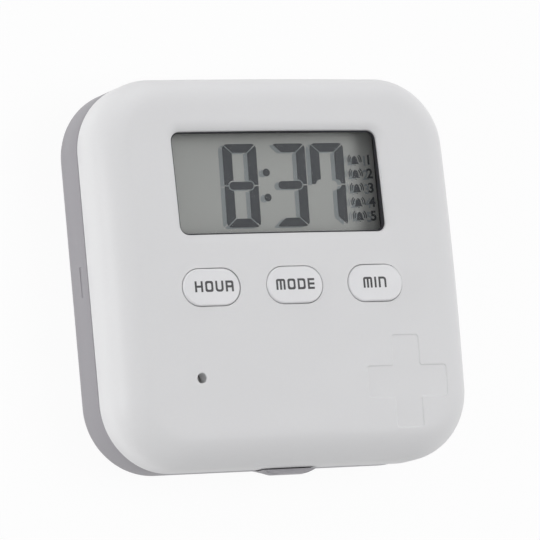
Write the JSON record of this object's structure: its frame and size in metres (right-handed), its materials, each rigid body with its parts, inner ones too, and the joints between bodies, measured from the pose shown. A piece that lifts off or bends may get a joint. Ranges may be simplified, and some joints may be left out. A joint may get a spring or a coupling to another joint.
{
  "type": "pill organizer with alarm",
  "caption": "Square pocket pill box: a hinged lid carries a clock display with alarm keys, over a divided tray.",
  "frame": {"origin": "centre of the flat back face of the tray, on which the closed box lies", "axes": "+Z out of the display face, +Y towards the hinge and the display's top edge, +X to the display's right"},
  "size_m": [0.096, 0.0971, 0.0279],
  "materials": {
    "white_shell": "satin",
    "grey_shell": "satin",
    "steel": "bright",
    "gilt_contact": "plated",
    "display_glass": "clear",
    "display_ground": "silvery grey",
    "holder_plastic": "moulded",
    "contact_rubber": "matt",
    "board_laminate": "lacquered",
    "chip_resin": "cured resin",
    "cell_sleeve": "shrunk sleeve",
    "lamp_resin": "tinted clear"
  },
  "bodies": {
    "tray": {"rear_tray": "grey_shell", "divider_long": "grey_shell", "divider_short": "grey_shell", "hinge_pin_left": "steel", "hinge_pin_right": "steel"},
    "lid": {"front_cover": "white_shell", "display_lens": "display_glass", "lcd_front_glass": "display_glass", "lcd_rear_glass": "display_glass", "lcd_reflector": "display_ground", "lcd_holder": "holder_plastic", "zebra_strip": "contact_rubber", "circuit_board": "board_laminate", "chip_cover": "chip_resin", "crystal_can": "steel", "capacitor": "cell_sleeve", "led_lamp": "lamp_resin", "sounder": "holder_plastic", "battery_cradle": "white_shell", "battery_cell_upper": "cell_sleeve", "battery_cell_lower": "cell_sleeve", "contact_positive": "gilt_contact", "contact_negative": "gilt_contact", "contact_bridge": "gilt_contact", "battery_spring_upper": "steel", "battery_spring_lower": "steel", "inner_panel": "white_shell", "panel_screw_1": "steel", "panel_screw_2": "steel", "panel_screw_3": "steel", "panel_screw_4": "steel", "board_screw_1": "steel", "board_screw_2": "steel", "board_screw_3": "steel", "switch_body_hour": "holder_plastic", "switch_body_mode": "holder_plastic", "switch_body_min": "holder_plastic"},
    "key_hour": {"keycap_hour": "white_shell", "switch_plunger_hour": "contact_rubber"},
    "key_mode": {"keycap_mode": "white_shell", "switch_plunger_mode": "contact_rubber"},
    "key_min": {"keycap_min": "white_shell", "switch_plunger_min": "contact_rubber"},
    "door": {"battery_door": "white_shell"}
  },
  "joints": [
    {"name": "lid_hinge", "type": "hinge", "parent": "tray", "child": "lid", "pos_m": [0, 0.0463, 0.01], "axis": [-1, 0, 0], "range_deg": [0, 110]},
    {"name": "key_hour_press", "type": "slide", "parent": "lid", "child": "key_hour", "axis": [0, 0, -1], "range_m": [0, 0.0006], "stiffness_N_per_m": 2500},
    {"name": "key_mode_press", "type": "slide", "parent": "lid", "child": "key_mode", "axis": [0, 0, -1], "range_m": [0, 0.0006], "stiffness_N_per_m": 2500},
    {"name": "key_min_press", "type": "slide", "parent": "lid", "child": "key_min", "axis": [0, 0, -1], "range_m": [0, 0.0006], "stiffness_N_per_m": 2500},
    {"name": "battery_door_slide", "type": "slide", "parent": "lid", "child": "door", "axis": [0, 1, 0], "range_m": [0, 0.025]}
  ]
}
